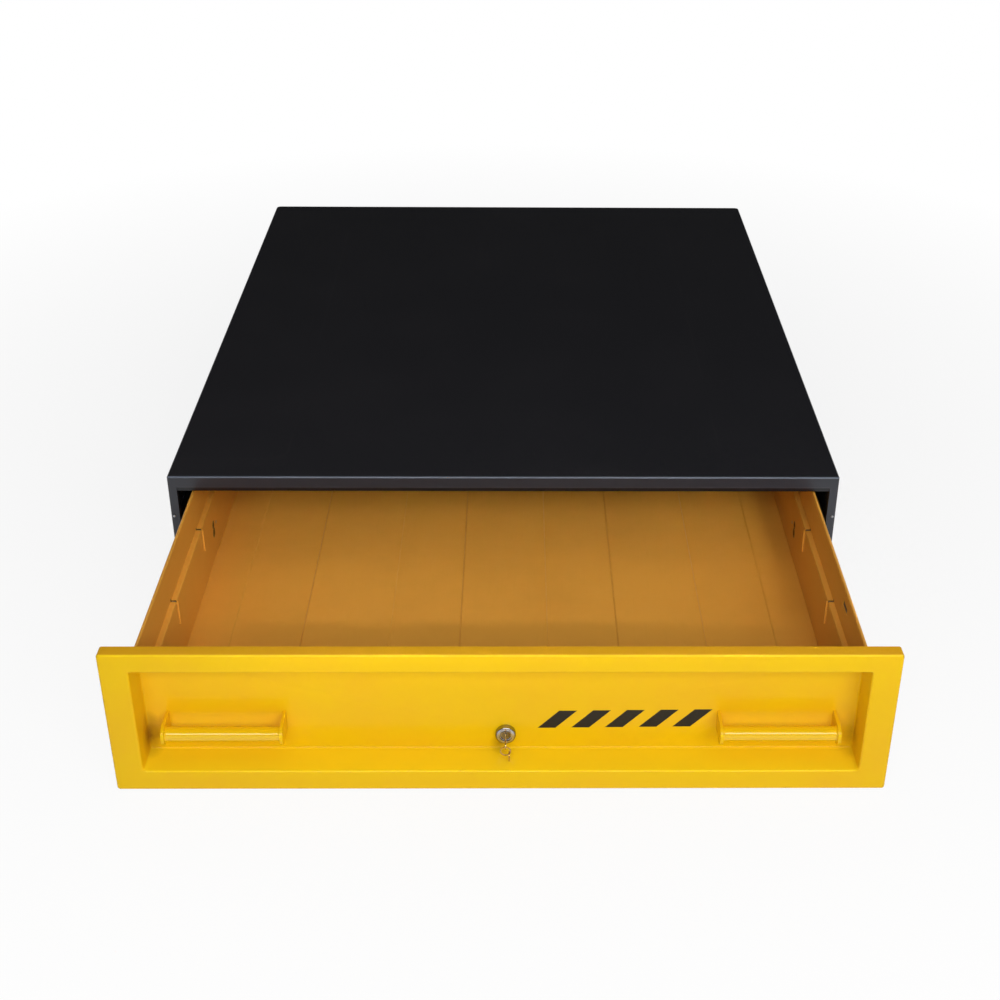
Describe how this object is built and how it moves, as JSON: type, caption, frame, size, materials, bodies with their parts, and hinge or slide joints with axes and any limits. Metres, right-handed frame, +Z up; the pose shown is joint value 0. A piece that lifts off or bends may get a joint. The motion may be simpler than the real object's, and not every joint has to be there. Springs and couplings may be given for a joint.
{
  "type": "van drawer vault",
  "caption": "Low folded steel case for a van floor with one wide lockable drawer on telescopic ball runners, drawn partly open.",
  "frame": {"origin": "middle of the four floor bolt holes, on the underside of the case", "axes": "+X to the right seen from the front, the drawer front faces -Y, +Z up"},
  "size_m": [1, 1.647, 0.22],
  "materials": {
    "case_paint": "black powder coat",
    "front_paint": "yellow powder coat, satin gloss",
    "drawer_paint": "yellow powder coat inside the drawer",
    "runner_zinc": "bright zinc plate on cold-rolled steel",
    "cage_steel": "plain pressed steel strip",
    "ball_steel": "polished bearing steel",
    "fastener_zinc": "zinc plate",
    "lock_nickel": "nickel plate",
    "key_nickel": "nickel silver"
  },
  "bodies": {
    "case": {"case_cover": "case_paint", "case_base": "case_paint", "case_back": "case_paint", "front_header": "case_paint", "front_flange_rivets": "fastener_zinc", "left_top_stiffener": "case_paint", "right_top_stiffener": "case_paint", "left_runner_support": "case_paint", "right_runner_support": "case_paint", "left_outer_rail": "runner_zinc", "right_outer_rail": "runner_zinc", "outer_rail_rivets": "fastener_zinc", "lock_keeper": "case_paint", "keeper_bolts": "fastener_zinc"},
    "left_middle": {"left_middle_rail": "runner_zinc"},
    "right_middle": {"right_middle_rail": "runner_zinc"},
    "left_outer_cage": {"left_outer_ball_cage": "cage_steel", "left_outer_balls": "ball_steel"},
    "right_outer_cage": {"right_outer_ball_cage": "cage_steel", "right_outer_balls": "ball_steel"},
    "left_inner_cage": {"left_inner_ball_cage": "cage_steel", "left_inner_balls": "ball_steel"},
    "right_inner_cage": {"right_inner_ball_cage": "cage_steel", "right_inner_balls": "ball_steel"},
    "drawer": {"left_inner_rail": "runner_zinc", "right_inner_rail": "runner_zinc", "inner_rail_rivets": "fastener_zinc", "drawer_pan": "drawer_paint", "drawer_front_wall": "drawer_paint", "drawer_back": "drawer_paint", "front_panel": "front_paint", "left_handle_bar": "front_paint", "left_handle_outer_ear": "front_paint", "left_handle_inner_ear": "front_paint", "right_handle_bar": "front_paint", "right_handle_outer_ear": "front_paint", "right_handle_inner_ear": "front_paint", "lock_body": "lock_nickel", "lock_nut": "lock_nickel", "lock_cover": "drawer_paint", "lock_cover_screws": "fastener_zinc"},
    "lock_core": {"lock_plug": "lock_nickel", "lock_cam": "fastener_zinc", "cam_nut": "fastener_zinc", "key": "key_nickel"},
    "key_bunch": {"key_ring": "key_nickel", "spare_key": "key_nickel"}
  },
  "joints": [
    {"name": "drawer_slide", "type": "slide", "parent": "case", "child": "drawer", "axis": [0, -1, 0], "range_m": [-0.426, 0.554]},
    {"name": "left_middle_slide", "type": "slide", "parent": "case", "child": "left_middle", "axis": [0, -1, 0], "range_m": [-0.213, 0.277]},
    {"name": "right_middle_slide", "type": "slide", "parent": "case", "child": "right_middle", "axis": [0, -1, 0], "range_m": [-0.213, 0.277]},
    {"name": "left_outer_cage_roll", "type": "slide", "parent": "case", "child": "left_outer_cage", "axis": [0, -1, 0], "range_m": [-0.1065, 0.1385]},
    {"name": "right_outer_cage_roll", "type": "slide", "parent": "case", "child": "right_outer_cage", "axis": [0, -1, 0], "range_m": [-0.1065, 0.1385]},
    {"name": "left_inner_cage_roll", "type": "slide", "parent": "case", "child": "left_inner_cage", "axis": [0, -1, 0], "range_m": [-0.3195, 0.4155]},
    {"name": "right_inner_cage_roll", "type": "slide", "parent": "case", "child": "right_inner_cage", "axis": [0, -1, 0], "range_m": [-0.3195, 0.4155]},
    {"name": "key_turn", "type": "hinge", "parent": "drawer", "child": "lock_core", "pos_m": [0.0045, -1.0075, 0.0604], "axis": [0, 1, 0], "range_deg": [0, 90]},
    {"name": "key_ring_swing", "type": "hinge", "parent": "lock_core", "child": "key_bunch", "pos_m": [0.0045, -1.0285, 0.0604], "axis": [-1, 0, 0], "range_deg": [-40, 75]}
  ],
  "couplings": [
    {"joint": "left_middle_slide", "follows": "drawer_slide", "ratio": 0.5},
    {"joint": "right_middle_slide", "follows": "drawer_slide", "ratio": 0.5},
    {"joint": "left_outer_cage_roll", "follows": "drawer_slide", "ratio": 0.25},
    {"joint": "right_outer_cage_roll", "follows": "drawer_slide", "ratio": 0.25},
    {"joint": "left_inner_cage_roll", "follows": "drawer_slide", "ratio": 0.75},
    {"joint": "right_inner_cage_roll", "follows": "drawer_slide", "ratio": 0.75}
  ]
}
